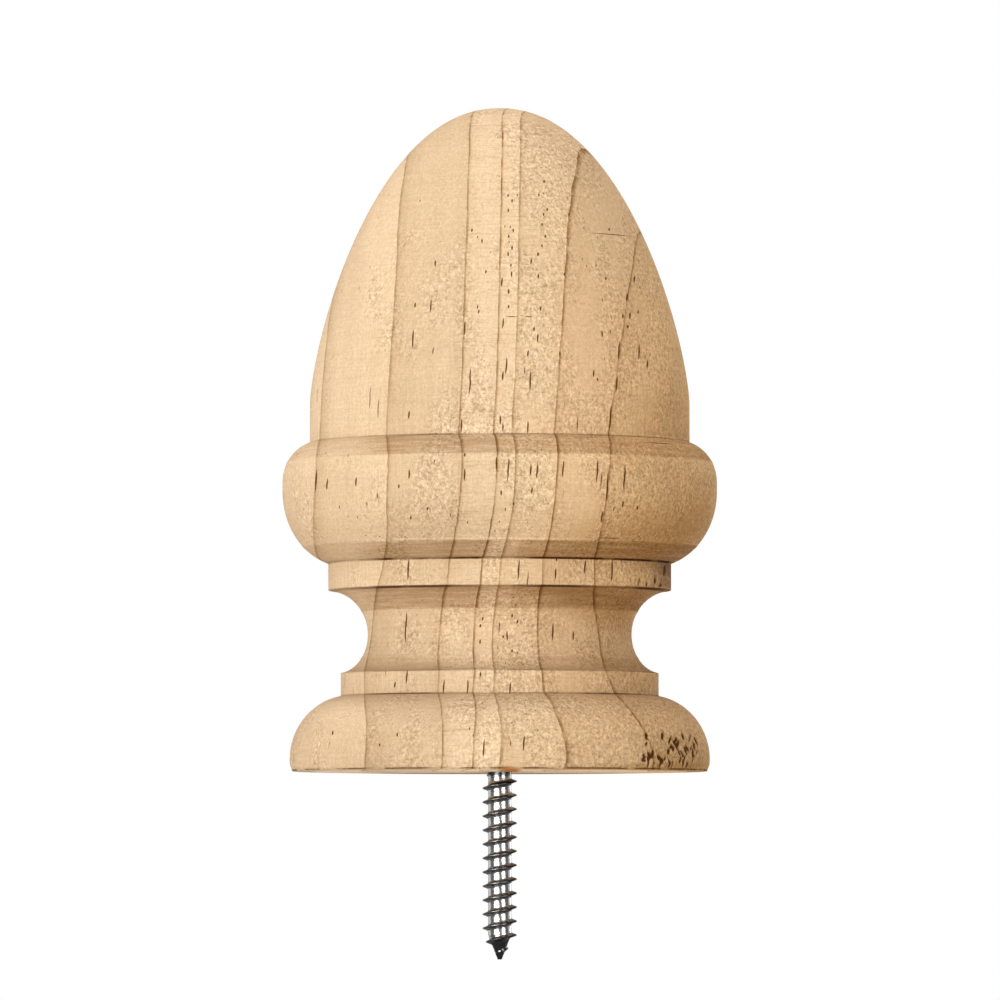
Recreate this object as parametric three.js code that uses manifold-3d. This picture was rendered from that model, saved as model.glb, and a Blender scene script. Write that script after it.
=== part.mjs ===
// Acorn finial: a turned pine ornament that screws onto the top of a post.
// Millimetres, +Z up. The origin is the centre of the flat underside, which seats on the post.
// The acorn points up, and half of a double-ended wood screw stands out below.
import * as THREE from "three";
import * as BufferGeometryUtils from "three/addons/utils/BufferGeometryUtils.js";
import Module from "manifold-3d";

// A run-on is how much further in or out a round would end if it turned a full quarter.

// Foot: a broad roll, tucked in where it meets the underside.
const footRadius = 36.8;
const footTuckIn = 0.7;
const footTuckHeight = 2.2;
const footRoundHeight = 11.1;
const footRoundRunOn = 1.85;

// Lower fillet: the short straight neck on top of the foot.
const lowerFilletRadius = 27.85;
const lowerFilletHeight = 4;

// Cove: the hollow between the two fillets, narrowest at its waist.
const coveWaistRadius = 23.12;
const coveLowerHeight = 6.8;
const coveLowerRunOn = 0.75;
const coveUpperHeight = 7.7;
const coveUpperRunOn = 0.37;

// Upper fillet: the short straight neck under the collar.
const upperFilletRadius = 30.05;
const upperFilletHeight = 4.7;

// Collar: the widest ring, with a long round below its straight edge and a short one above.
const collarRadius = 38.1;
const collarLowerHeight = 12.6;
const collarLowerRunOn = 3.25;
const collarEdgeHeight = 1.7;
const collarUpperHeight = 6.9;
const collarUpperRunOn = 1.9;

// Acorn: a nearly straight wall that closes in a full, blunt dome.
const acornRadius = 33.3;
const acornWallHeight = 7;
const acornDomeHeight = 51.85;
const acornWallExponent = 1.407;
const acornTipExponent = 2.128;

// Screw: a double-ended steel wood screw. Its reach is what stands out of the underside.
const screwCoreRadius = 2.07;
const screwReach = 32.8;
const screwPointLength = 4.3;
const screwTipRadius = 0.35;
const screwSeatedLength = 28;

// Thread: right-handed. Its top crest is the highest one on the +X side, below the underside.
const threadHeight = 0.93;
const threadFootWidth = 0.95;
const threadCrestWidth = 0.12;
const threadRootDepth = 0.3;
const threadPitch = 2.45;
const threadTopCrest = -1.6;
const threadRunoutLength = 2.5;
const threadRunoutFromTip = 0.8;

// Gap between the seated half of the screw and the bore that holds it.
const boreClearance = 0.3;

// Smoothness of the round forms.
const turnedSegments = 60;
const screwSegments = 16;
const roundSteps = 6;
const hollowSteps = 5;
const tuckSteps = 2;
const domeSteps = 13;

const pine = new THREE.MeshStandardMaterial({ color: 0xe3c298, roughness: 0.72, metalness: 0 });
const zincSteel = new THREE.MeshStandardMaterial({ color: 0x6d6a68, roughness: 0.32, metalness: 0.9 });

const wasm = await Module();
wasm.setup();

// Heights where the turned forms begin, each stacked on the one below.
const lowerFilletBase = footTuckHeight + footRoundHeight;
const coveBase = lowerFilletBase + lowerFilletHeight;
const coveWaist = coveBase + coveLowerHeight;
const upperFilletBase = coveWaist + coveUpperHeight;
const collarBase = upperFilletBase + upperFilletHeight;
const collarEdgeBase = collarBase + collarLowerHeight;
const collarEdgeTop = collarEdgeBase + collarEdgeHeight;
const acornBase = collarEdgeTop + collarUpperHeight;
const domeBase = acornBase + acornWallHeight;

// The thread's outer size is also the size of the plain seated half.
const threadRadius = screwCoreRadius + threadHeight;

// A point of a turned profile: how far from the axis, and how high.
function at(radius, z) {
  return new THREE.Vector2(radius, z);
}

// A round or a hollow that leaves its start upright and turns, nearly a quarter, to the end radius.
// The rise is negative where it runs downwards.
function quarter(start, rise, endRadius, runOn, steps) {
  const inward = start.x - endRadius;
  const width = inward + Math.sign(inward) * runOn;
  const endAngle = Math.acos(runOn / Math.abs(width));
  const fullRise = rise / Math.sin(endAngle);
  return Array.from({ length: steps + 1 }, (_, step) => {
    const angle = (endAngle * step) / steps;
    return at(start.x - width * (1 - Math.cos(angle)), start.y + fullRise * Math.sin(angle));
  });
}

function foot() {
  const widest = at(footRadius, footTuckHeight);
  const tuck = quarter(widest, -footTuckHeight, footRadius - footTuckIn, 0, tuckSteps);
  const round = quarter(widest, footRoundHeight, lowerFilletRadius, footRoundRunOn, roundSteps);
  return [...tuck.reverse(), ...round];
}

function cove() {
  const waist = at(coveWaistRadius, coveWaist);
  const lower = quarter(waist, -coveLowerHeight, lowerFilletRadius, coveLowerRunOn, hollowSteps);
  const upper = quarter(waist, coveUpperHeight, upperFilletRadius, coveUpperRunOn, hollowSteps);
  return [...lower.reverse(), ...upper];
}

function collar() {
  const low = at(collarRadius, collarEdgeBase);
  const high = at(collarRadius, collarEdgeTop);
  const lower = quarter(low, -collarLowerHeight, upperFilletRadius, collarLowerRunOn, roundSteps);
  const upper = quarter(high, collarUpperHeight, acornRadius, collarUpperRunOn, roundSteps);
  return [...lower.reverse(), ...upper];
}

// The acorn's dome. Its steps crowd towards the tip, where the curve is tightest.
function dome() {
  return Array.from({ length: domeSteps + 1 }, (_, step) => {
    const share = Math.sin((Math.PI / 2) * (step / domeSteps));
    const radius = acornRadius * (1 - share ** acornWallExponent) ** (1 / acornTipExponent);
    return at(radius, domeBase + acornDomeHeight * share);
  });
}

// A profile turned round the Z axis, without the points that repeat where two forms meet.
function turned(profile, segments) {
  const points = profile.filter((point, index) => index === 0 || !point.equals(profile[index - 1]));
  return new THREE.LatheGeometry(points, segments).rotateX(Math.PI / 2);
}

// The whole finial in one profile: up the bore's wall, across the underside and up to the tip.
function finialGeometry() {
  const boreRadius = threadRadius + boreClearance;
  const boreDepth = screwSeatedLength + boreClearance;
  const bore = [at(0, boreDepth), at(boreRadius, boreDepth), at(boreRadius, 0)];
  return turned([...bore, ...foot(), ...cove(), ...collar(), ...dome()], turnedSegments);
}

// The core's radius at a height: straight down to the point, then a cone to the blunt tip.
function coreRadiusAt(z) {
  const pointShare = Math.min((z + screwReach) / screwPointLength, 1);
  return THREE.MathUtils.lerp(screwTipRadius, screwCoreRadius, pointShare);
}

// How much of its full section the thread has at a height: it runs out to nothing on the point.
function threadShareAt(z) {
  const aboveRunout = z + screwReach - threadRunoutFromTip;
  return Math.min(aboveRunout / threadRunoutLength, 1);
}

// The helix that the thread follows on the core, in equal steps of angle.
// Its frames carry the section upright, and shrink it where the thread runs out.
class ThreadCurve extends THREE.Curve {
  constructor(lowZ, highZ) {
    super();
    this.lowZ = lowZ;
    this.highZ = highZ;
  }

  heightAt(t) {
    return THREE.MathUtils.lerp(this.lowZ, this.highZ, t);
  }

  outwardAt(t) {
    const angle = (2 * Math.PI * (this.heightAt(t) - threadTopCrest)) / threadPitch;
    return new THREE.Vector3(Math.cos(angle), Math.sin(angle), 0);
  }

  getPoint(t) {
    const z = this.heightAt(t);
    return this.outwardAt(t).multiplyScalar(coreRadiusAt(z)).setZ(z);
  }

  getPointAt(t) {
    return this.getPoint(t);
  }

  computeFrenetFrames(segments) {
    const down = new THREE.Vector3(0, 0, -1);
    const frames = { tangents: [], normals: [], binormals: [] };
    for (let step = 0; step <= segments; step += 1) {
      const t = step / segments;
      const outward = this.outwardAt(t);
      const share = threadShareAt(this.heightAt(t));
      frames.tangents.push(outward.clone().cross(down));
      frames.normals.push(outward.multiplyScalar(share));
      frames.binormals.push(down.clone().multiplyScalar(share));
    }
    return frames;
  }
}

// The thread's ridge: a trapezium, rooted a little inside the core, carried along the helix.
// It starts a step above the end of the run-out, and goes on past the underside.
function threadGeometry() {
  const footHalf = threadFootWidth / 2;
  const crestHalf = threadCrestWidth / 2;
  const rootHalf = footHalf + ((footHalf - crestHalf) * threadRootDepth) / threadHeight;
  const section = new THREE.Shape([
    at(-threadRootDepth, -rootHalf),
    at(threadHeight, -crestHalf),
    at(threadHeight, crestHalf),
    at(-threadRootDepth, rootHalf),
  ]);
  const stepRise = threadPitch / screwSegments;
  const topToRunout = screwReach + threadTopCrest - threadRunoutFromTip;
  const stepsBelow = Math.floor(topToRunout / stepRise) - 1;
  const stepsAbove = Math.ceil((threadFootWidth - threadTopCrest) / stepRise);
  const lowZ = threadTopCrest - stepsBelow * stepRise;
  const highZ = threadTopCrest + stepsAbove * stepRise;
  const extrudePath = new ThreadCurve(lowZ, highZ);
  return new THREE.ExtrudeGeometry(section, { steps: stepsBelow + stepsAbove, extrudePath });
}

// A closed mesh as a solid.
function solidOf(geometry) {
  const bare = geometry.clone();
  bare.deleteAttribute("normal");
  bare.deleteAttribute("uv");
  const merged = BufferGeometryUtils.mergeVertices(bare);
  const mesh = new wasm.Mesh({
    numProp: 3,
    vertProperties: merged.attributes.position.array,
    triVerts: merged.index.array,
  });
  return new wasm.Manifold(mesh);
}

// A solid back as a mesh.
function geometryOf(solid) {
  const mesh = solid.getMesh();
  const geometry = new THREE.BufferGeometry();
  geometry.setAttribute("position", new THREE.BufferAttribute(mesh.vertProperties, 3));
  geometry.setIndex(new THREE.BufferAttribute(mesh.triVerts, 1));
  geometry.computeVertexNormals();
  return geometry;
}

// The screw: its core and its plain seated half in one, and the thread that shows below the underside.
// The thread is cut off square just short of the underside.
function screwGeometry() {
  const core = turned(
    [
      at(0, -screwReach),
      at(screwTipRadius, -screwReach),
      at(screwCoreRadius, screwPointLength - screwReach),
      at(screwCoreRadius, 0),
      at(threadRadius, 0),
      at(threadRadius, screwSeatedLength),
      at(0, screwSeatedLength),
    ],
    screwSegments,
  );
  const wellClearRadius = 2 * threadRadius;
  const belowUnderside = turned(
    [
      at(0, -screwReach),
      at(wellClearRadius, -screwReach),
      at(wellClearRadius, -boreClearance),
      at(0, -boreClearance),
    ],
    screwSegments,
  );
  const thread = solidOf(threadGeometry()).intersect(solidOf(belowUnderside));
  return geometryOf(solidOf(core).add(thread));
}

const acornFinial = new THREE.Group();

const turnedFinial = new THREE.Mesh(finialGeometry(), pine);
turnedFinial.name = "turned_finial";
acornFinial.add(turnedFinial);

const postScrew = new THREE.Mesh(screwGeometry(), zincSteel);
postScrew.name = "post_screw";
acornFinial.add(postScrew);

export default acornFinial;
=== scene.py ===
"""Acorn finial: a turned pine ornament that screws onto the top of a post.

One body of pine, turned on a lathe, and one double-ended steel wood screw, with a pale floor,
soft lights and a camera. Objects are in metres, +Z up, and the origin is the centre of the flat underside.
"""

import math
import random
from itertools import accumulate

import bmesh
import bpy
import numpy as np
from bpy.props import FloatProperty, FloatVectorProperty, IntProperty, PointerProperty
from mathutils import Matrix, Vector


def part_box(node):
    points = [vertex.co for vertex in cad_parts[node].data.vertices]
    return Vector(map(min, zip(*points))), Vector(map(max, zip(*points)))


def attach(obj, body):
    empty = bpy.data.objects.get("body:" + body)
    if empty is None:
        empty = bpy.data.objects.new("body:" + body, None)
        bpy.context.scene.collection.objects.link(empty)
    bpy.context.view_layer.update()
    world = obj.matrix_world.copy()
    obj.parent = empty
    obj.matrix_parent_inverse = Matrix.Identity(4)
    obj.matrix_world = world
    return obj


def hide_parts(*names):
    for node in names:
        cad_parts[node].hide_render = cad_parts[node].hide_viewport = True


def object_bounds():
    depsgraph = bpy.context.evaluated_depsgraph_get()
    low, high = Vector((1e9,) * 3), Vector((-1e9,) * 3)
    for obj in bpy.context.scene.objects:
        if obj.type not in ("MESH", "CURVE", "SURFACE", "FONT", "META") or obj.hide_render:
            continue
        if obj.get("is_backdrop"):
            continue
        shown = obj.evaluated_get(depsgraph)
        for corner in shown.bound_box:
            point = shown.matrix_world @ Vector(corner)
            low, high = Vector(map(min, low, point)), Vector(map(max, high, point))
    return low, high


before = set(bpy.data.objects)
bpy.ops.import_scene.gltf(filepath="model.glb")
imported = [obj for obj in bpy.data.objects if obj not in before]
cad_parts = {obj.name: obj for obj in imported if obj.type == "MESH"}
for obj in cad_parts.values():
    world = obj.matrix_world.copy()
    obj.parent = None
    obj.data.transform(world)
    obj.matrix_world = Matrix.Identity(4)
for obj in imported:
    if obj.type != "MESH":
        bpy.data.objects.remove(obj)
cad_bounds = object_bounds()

bl_info = {
    "name": "Acorn finial",
    "version": (1, 0, 0),
    "blender": (4, 5, 0),
    "location": "3D View > Sidebar > Finial",
    "description": "A turned pine acorn finial on a double-ended wood screw, with its stage",
    "category": "Add Mesh",
}

MM = 0.001

# The widest radius and the tip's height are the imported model's own.
wood_low, wood_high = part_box("turned_finial")
COLLAR_RADIUS = wood_high.x / MM
TIP_HEIGHT = wood_high.z / MM


def millimetres(name, description, value, low=0.0):
    """A length property, shown in the scene's units. The value is given in millimetres."""
    return FloatProperty(
        name=name,
        description=description,
        default=value * MM,
        min=low * MM,
        unit="LENGTH",
        subtype="DISTANCE",
        precision=5,
    )


def share(name, description, value, high=1.0):
    """A plain factor property."""
    return FloatProperty(
        name=name, description=description, default=value, min=0.0, max=high, subtype="FACTOR"
    )


def exponent(name, description, value):
    """A power that shapes a curve."""
    return FloatProperty(name=name, description=description, default=value, min=1.0)


def count(name, description, value, low):
    """A whole number of rows, segments or steps."""
    return IntProperty(name=name, description=description, default=value, min=low)


def colour(name, description, value):
    """A colour property, in linear light."""
    return FloatVectorProperty(
        name=name, description=description, default=value, size=3, min=0.0, max=1.0, subtype="COLOR"
    )


def degrees(name, description, value):
    """An angle property. The value is given in degrees."""
    return FloatProperty(name=name, description=description, default=math.radians(value), subtype="ANGLE")


def watts(name, description, value):
    """A light's power."""
    return FloatProperty(name=name, description=description, default=value, min=0.0, unit="POWER")


class FinialSizes(bpy.types.PropertyGroup):
    """Sizes of the turned forms. A run-on is how far a round would still go if it turned a full quarter."""

    foot_radius: millimetres("Foot radius", "Widest radius of the foot", 36.8)
    foot_tuck_in: millimetres("Foot tuck in", "How far the foot draws in at the underside", 0.7)
    foot_tuck_height: millimetres("Foot tuck height", "Height of the tuck under the foot's widest place", 2.2)
    foot_round_height: millimetres("Foot round height", "Height of the foot above its widest place", 11.1)
    foot_run_on: millimetres("Foot run-on", "Run-on of the foot's round", 1.85)
    lower_fillet_radius: millimetres("Lower fillet radius", "Radius of the neck on top of the foot", 27.85)
    lower_fillet_height: millimetres("Lower fillet height", "Height of the neck on top of the foot", 4.0)
    cove_waist_radius: millimetres("Cove waist radius", "Narrowest radius of the cove", 23.12)
    cove_lower_height: millimetres("Cove lower height", "Height of the cove below its waist", 6.8)
    cove_lower_run_on: millimetres("Cove lower run-on", "Run-on of the cove's lower half", 0.75)
    cove_upper_height: millimetres("Cove upper height", "Height of the cove above its waist", 7.7)
    cove_upper_run_on: millimetres("Cove upper run-on", "Run-on of the cove's upper half", 0.37)
    upper_fillet_radius: millimetres("Upper fillet radius", "Radius of the neck under the collar", 30.05)
    upper_fillet_height: millimetres("Upper fillet height", "Height of the neck under the collar", 4.7)
    collar_radius: millimetres("Collar radius", "Widest radius of the finial", COLLAR_RADIUS)
    collar_lower_height: millimetres("Collar lower height", "Height of the collar's lower round", 12.6)
    collar_lower_run_on: millimetres("Collar lower run-on", "Run-on of the collar's lower round", 3.25)
    collar_edge_height: millimetres("Collar edge height", "Height of the collar's straight edge", 1.7)
    collar_upper_height: millimetres("Collar upper height", "Height of the collar's upper round", 6.9)
    collar_upper_run_on: millimetres("Collar upper run-on", "Run-on of the collar's upper round", 1.9)
    acorn_radius: millimetres("Acorn radius", "Radius of the acorn's wall where it leaves the collar", 33.3)
    acorn_wall_height: millimetres("Acorn wall height", "Height of the acorn's straight wall", 7.0)
    tip_height: millimetres("Tip height", "Height of the acorn's tip above the underside", TIP_HEIGHT)
    acorn_wall_exponent: exponent("Acorn wall exponent", "The higher, the longer the dome stays wide", 1.407)
    acorn_tip_exponent: exponent("Acorn tip exponent", "The higher, the blunter the tip", 2.128)


class TurningMarks(bpy.types.PropertyGroup):
    """How the lathe left the wood: arrises, tool edges, gouges and torn grain."""

    rows: count("Rows", "Rows of the turned mesh from the bore to the tip", 236, low=60)
    segments: count("Segments", "Segments round the turned mesh", 404, low=60)
    arris_radius: millimetres("Arris radius", "How softly the corners are sanded", 0.16, low=0.01)
    tool_edge_height: millimetres("Tool edge height", "How far the faint tool edges stand proud", 0.07)
    tool_edge_width: millimetres("Tool edge width", "Width of the faint tool edges", 0.3, low=0.01)
    torn_depth: millimetres("Torn depth", "Depth of the pits where the grain tore", 0.42)
    bore_clearance: millimetres("Bore clearance", "Gap between the screw's thread and its bore", 0.12)


class ScrewSizes(bpy.types.PropertyGroup):
    """Sizes of the double-ended wood screw. The thread is right-handed."""

    core_radius: millimetres("Core radius", "Radius of the core between the ridges", 2.07)
    core_hollow: millimetres("Core hollow", "How far the core dips halfway between the ridges", 0.05)
    reach: millimetres("Reach", "How far the screw stands out of the underside", 32.8)
    seated_length: millimetres("Seated length", "How far the other half runs into the wood", 28.0)
    point_length: millimetres("Point length", "Length of the cone at each end", 4.3)
    tip_radius: millimetres("Tip radius", "Radius of the blunt tip", 0.35)
    thread_height: millimetres("Thread height", "How far the ridge stands out of the core", 0.93)
    thread_foot_width: millimetres("Thread foot width", "Width of the ridge at its foot", 0.95)
    thread_crest_width: millimetres("Thread crest width", "Width of the ridge at its crest", 0.12)
    thread_pitch: millimetres("Thread pitch", "Distance from one ridge to the next", 2.45, low=0.1)
    thread_top_crest: millimetres("Thread top crest", "Highest outer crest, on the +X side", -1.6, low=-10.0)
    runout_length: millimetres("Run-out length", "Length over which the ridge dies away", 2.5)
    runout_from_tip: millimetres("Run-out from tip", "Plain length between the tip and the ridge's end", 0.8)
    neck_middle: millimetres("Neck middle", "Middle of the plain neck between the two threads", 1.2)
    neck_length: millimetres("Neck length", "Length of the plain neck", 2.9)
    neck_fade: millimetres("Neck fade", "Length over which each thread grows out of the neck", 0.9, low=0.01)
    turn_steps: count("Turn steps", "Steps of the mesh in one turn", 72, low=12)


class PineLooks(bpy.types.PropertyGroup):
    """Colours and finish of the pine."""

    sapwood: colour("Sapwood", "Early wood far from the heart", (0.70, 0.505, 0.315))
    heartwood: colour("Heartwood", "Early wood near the heart", (0.735, 0.455, 0.22))
    latewood: colour("Latewood tint", "Tint of the dense wood that closes each ring", (0.86, 0.82, 0.76))
    ring_line: colour("Ring line tint", "Tint of the thin line at the end of each ring", (0.42, 0.31, 0.17))
    # Also painted shade deep in the torn pits.
    pore: colour("Pore", "Resin canals, and torn grain at its deepest", (0.095, 0.029, 0.001))
    # Partly the tool's burnish, partly painted shade in the hollows and under the collar.
    burnish_and_shade: colour("Burnish and shade tint", "Tint where the turning tool rubbed", (0.58, 0.50, 0.40))
    # Partly scorch, partly painted shade in the creases.
    scorch_and_shade: colour("Scorch and shade tint", "Tint in the creases", (0.15, 0.07, 0.015))
    # Painted shade on the side that faces down and to the right.
    down_right_shade: colour("Down-right shade tint", "Tint of the side that faces down and towards the heart", (0.66, 0.55, 0.36))
    resin: colour("Resin", "The stain in front of the screw", (0.50, 0.16, 0.015))
    roughness: share("Roughness", "Roughness of the sanded pine", 0.66)
    shine: share("Shine", "How strongly the bare wood reflects", 0.04)
    fibre: share("Fibre", "Strength of the fine upright fibre", 0.36)
    cross: share("Cross lines", "Strength of the fine lines that the lathe left round the wood", 0.26)
    stipple: share("Stipple", "Strength of the fuzzy mottling", 0.74)
    tooth: share("Tooth", "Strength of the finest grain of the surface", 0.36)


class SteelLooks(bpy.types.PropertyGroup):
    """Colours and finish of the zinc-plated steel."""

    zinc: colour("Zinc", "Bright plating on the core", (0.36, 0.355, 0.35))
    # Partly oil and dust, partly painted shade: darker ridges on the right, and the top under the wood.
    film_and_shade: colour("Dark film", "Oil and dust on the ridges, the point and the top", (0.018, 0.018, 0.021))
    roughness: share("Roughness", "Roughness of the plating", 0.24)


class StageSettings(bpy.types.PropertyGroup):
    """Camera, floor and lights."""

    camera_distance: millimetres("Camera distance", "From the camera to the turning axis", 1612.8)
    camera_height: millimetres("Camera height", "Measured from the underside, upwards", -20.8, low=-1000.0)
    aim_height: millimetres("Aim height", "Height on the turning axis in the middle of the view", 47.7)
    camera_offset: millimetres("Camera offset", "How far right of the axis the camera stands", 0.05)
    lens: FloatProperty(
        name="Lens", description="Focal length on a 36 mm sensor", default=331.3, subtype="DISTANCE_CAMERA"
    )
    floor_drop: millimetres("Floor drop", "From the underside down to the floor", 45.0)
    ambient: share("Ambient", "Strength of the white surroundings as a light", 0.46, high=2.0)
    reflected: share("Reflected", "Strength of the white surroundings in reflections", 0.22, high=2.0)
    key_power: watts("Key power", "Power of the wide, low key light", 10.6)
    key_bearing: degrees("Key bearing", "Bearing of the key light, to the left of the camera", 32.0)
    key_rise: degrees("Key rise", "Rise of the key light above the finial", 2.0)
    top_power: watts("Top power", "Power of the soft light straight above", 8.8)
    rim_power: watts("Rim power", "Power of the light behind the finial on the right", 2.2)
    strip_power: watts("Strip power", "Power of the brightest strip light that shines on the screw", 2.2)


class Wire:
    """An output socket that can be reckoned with. Each sign adds a Math node."""

    def __init__(self, web, socket):
        self.web = web
        self.socket = socket

    def __add__(self, other):
        return self.web.math("ADD", self, other)

    def __radd__(self, other):
        return self.web.math("ADD", other, self)

    def __sub__(self, other):
        return self.web.math("SUBTRACT", self, other)

    def __rsub__(self, other):
        return self.web.math("SUBTRACT", other, self)

    def __mul__(self, other):
        return self.web.math("MULTIPLY", self, other)

    def __rmul__(self, other):
        return self.web.math("MULTIPLY", other, self)

    def __truediv__(self, other):
        return self.web.math("DIVIDE", self, other)

    def __rtruediv__(self, other):
        return self.web.math("DIVIDE", other, self)

    def __abs__(self):
        return self.web.math("ABSOLUTE", self)


class Web:
    """Adds the nodes of one material or world."""

    def __init__(self, tree):
        self.tree = tree
        self.tree.nodes.clear()

    def node(self, kind, settings=None, sockets=None, output=0):
        """Adds a node: first its settings, then the values or links of its sockets."""
        made = self.tree.nodes.new(kind)
        for name, value in (settings or {}).items():
            setattr(made, name, value)
        for name, value in (sockets or {}).items():
            if isinstance(value, Wire):
                self.tree.links.new(value.socket, made.inputs[name])
            else:
                made.inputs[name].default_value = value
        return Wire(self, made.outputs[output]) if len(made.outputs) else None

    def math(self, operation, *values):
        return self.node("ShaderNodeMath", {"operation": operation}, dict(enumerate(values)))

    def exponential(self, power):
        return self.math("EXPONENT", power)

    def bell(self, value, middle, half_width):
        """1 in the middle, falling off smoothly on both sides."""
        away = (value - middle) / half_width
        return self.exponential(-1.0 * away * away)

    def vector(self, operation, *values):
        return self.node("ShaderNodeVectorMath", {"operation": operation}, dict(enumerate(values)))

    def stretched(self, place, x, y, z):
        """The place with each direction scaled."""
        return self.vector("MULTIPLY", place, (x, y, z))

    def joined(self, x, y, z):
        return self.node("ShaderNodeCombineXYZ", sockets={"X": x, "Y": y, "Z": z})

    def parts(self, place):
        """The three numbers of a vector."""
        split = self.node("ShaderNodeSeparateXYZ", sockets={"Vector": place}).socket.node
        return [Wire(self, output) for output in split.outputs]

    def length(self, vector):
        return self.node("ShaderNodeVectorMath", {"operation": "LENGTH"}, {0: vector}, output=1)

    def place_in_millimetres(self):
        """The place on the object, in millimetres."""
        where = self.node("ShaderNodeTexCoord", output="Object")
        return self.node("ShaderNodeVectorMath", {"operation": "SCALE"}, {0: where, "Scale": 1 / MM})

    def step(self, value, start, end, low=0.0, high=1.0):
        """Eases from low to high as the value goes from start to end."""
        return self.node(
            "ShaderNodeMapRange",
            {"interpolation_type": "SMOOTHSTEP"},
            {"Value": value, "From Min": start, "From Max": end, "To Min": low, "To Max": high},
        )

    def line(self, value, start, end):
        """Goes straight from 0 to 1 as the value goes from start to end, and stays there."""
        return self.node("ShaderNodeMapRange", {}, {"Value": value, "From Min": start, "From Max": end})

    def band(self, value, low, high, soft):
        """1 between low and high, with soft sides."""
        return self.step(value, low - soft, low + soft) * self.step(value, high + soft, high - soft)

    def noise(self, place, scale=1.0, detail=2.0, roughness=0.5, distortion=0.0):
        """Smooth noise from 0 to 1, about 0.5 in the mean."""
        look = {"Scale": scale, "Detail": detail, "Roughness": roughness, "Distortion": distortion}
        return self.node("ShaderNodeTexNoise", {}, {"Vector": place, **look})

    def mix(self, factor, first, second, blend="MIX"):
        """Blends two colours by a factor."""
        return self.node(
            "ShaderNodeMix",
            {"data_type": "RGBA", "blend_type": blend},
            {0: factor, 6: first, 7: second},
            output=2,
        )

    def tint(self, base, factor, tone):
        """The base colour multiplied by a tone, as far as the factor says."""
        return self.mix(factor, base, tone, blend="MULTIPLY")


def opaque(rgb):
    return (*rgb, 1.0)


def new_material(name):
    material = bpy.data.materials.new(name)
    material.use_nodes = True
    return material, Web(material.node_tree)


def finish_material(web, sockets):
    """Joins the sockets to a Principled shader and on to the material's surface."""
    shader = web.node("ShaderNodeBsdfPrincipled", {}, sockets)
    web.node("ShaderNodeOutputMaterial", {}, {"Surface": shader})


def stacked_heights(sizes):
    """Heights where the turned forms begin, each stacked on the one below."""
    rises = {
        "lower_fillet_base": sizes.foot_tuck_height + sizes.foot_round_height,
        "cove_base": sizes.lower_fillet_height,
        "cove_waist": sizes.cove_lower_height,
        "upper_fillet_base": sizes.cove_upper_height,
        "collar_base": sizes.upper_fillet_height,
        "collar_edge_base": sizes.collar_lower_height,
        "collar_edge_top": sizes.collar_edge_height,
        "acorn_base": sizes.collar_upper_height,
        "dome_base": sizes.acorn_wall_height,
    }
    return dict(zip(rises, accumulate(rises.values())))


ROUND_STEPS = 48
DOME_STEPS = 200


def quarter(start, rise, end_radius, run_on):
    """A round or a hollow that leaves its start upright and turns, nearly a quarter, to the end radius."""
    inward = start[0] - end_radius
    width = inward + math.copysign(run_on, inward)
    end_angle = math.acos(run_on / abs(width))
    full_rise = rise / math.sin(end_angle)
    angle = np.linspace(0.0, end_angle, ROUND_STEPS)
    return np.column_stack([start[0] - width * (1 - np.cos(angle)), start[1] + full_rise * np.sin(angle)])


def dome(sizes, base):
    """The acorn's dome. Its steps crowd towards the tip, where the curve is tightest."""
    rise = np.sin(np.linspace(0.0, math.pi / 2, DOME_STEPS))
    radius = sizes.acorn_radius * (1 - rise**sizes.acorn_wall_exponent) ** (1 / sizes.acorn_tip_exponent)
    return np.column_stack([radius, base + (sizes.tip_height - base) * rise])


def outer_outline(sizes):
    """Radius and height from the underside's edge up to the tip."""
    h = stacked_heights(sizes)
    widest = (sizes.foot_radius, sizes.foot_tuck_height)
    waist = (sizes.cove_waist_radius, h["cove_waist"])
    edge_low = (sizes.collar_radius, h["collar_edge_base"])
    edge_high = (sizes.collar_radius, h["collar_edge_top"])
    return np.vstack([
        quarter(widest, -sizes.foot_tuck_height, sizes.foot_radius - sizes.foot_tuck_in, 0.0)[::-1],
        quarter(widest, sizes.foot_round_height, sizes.lower_fillet_radius, sizes.foot_run_on)[1:],
        quarter(waist, -sizes.cove_lower_height, sizes.lower_fillet_radius, sizes.cove_lower_run_on)[::-1],
        quarter(waist, sizes.cove_upper_height, sizes.upper_fillet_radius, sizes.cove_upper_run_on)[1:],
        quarter(
            edge_low, -sizes.collar_lower_height, sizes.upper_fillet_radius, sizes.collar_lower_run_on
        )[::-1],
        quarter(edge_high, sizes.collar_upper_height, sizes.acorn_radius, sizes.collar_upper_run_on),
        dome(sizes, h["dome_base"]),
    ])


def turned_outline(sizes, bore_radius, bore_depth):
    """Radius and height from the bore's end, down its wall, across the underside and up to the tip."""
    bore = [(0.0, bore_depth), (bore_radius, bore_depth), (bore_radius, 0.0)]
    return np.vstack([bore, outer_outline(sizes)])


def lengths_along(line):
    """How far along a line each of its points is."""
    pieces = np.hypot(*np.diff(line, axis=0).T)
    return np.concatenate([[0.0], np.cumsum(pieces)])


FINE_STEP = 0.02 * MM


def softened(line, arris_radius):
    """The line in fine, even steps, with its corners rounded by a moving average."""
    along = lengths_along(line)
    even = np.linspace(0.0, along[-1], int(along[-1] / FINE_STEP))
    fine = np.column_stack([np.interp(even, along, line[:, axis]) for axis in range(2)])
    half = int(arris_radius / FINE_STEP)
    weights = np.hanning(2 * half + 3)[1:-1]
    weights /= weights.sum()
    padded = np.pad(fine, ((half, half), (0, 0)), mode="reflect", reflect_type="odd")
    smooth = np.column_stack([np.convolve(padded[:, axis], weights, mode="valid") for axis in range(2)])
    smooth[[0, -1]] = line[[0, -1]]
    return smooth


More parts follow.
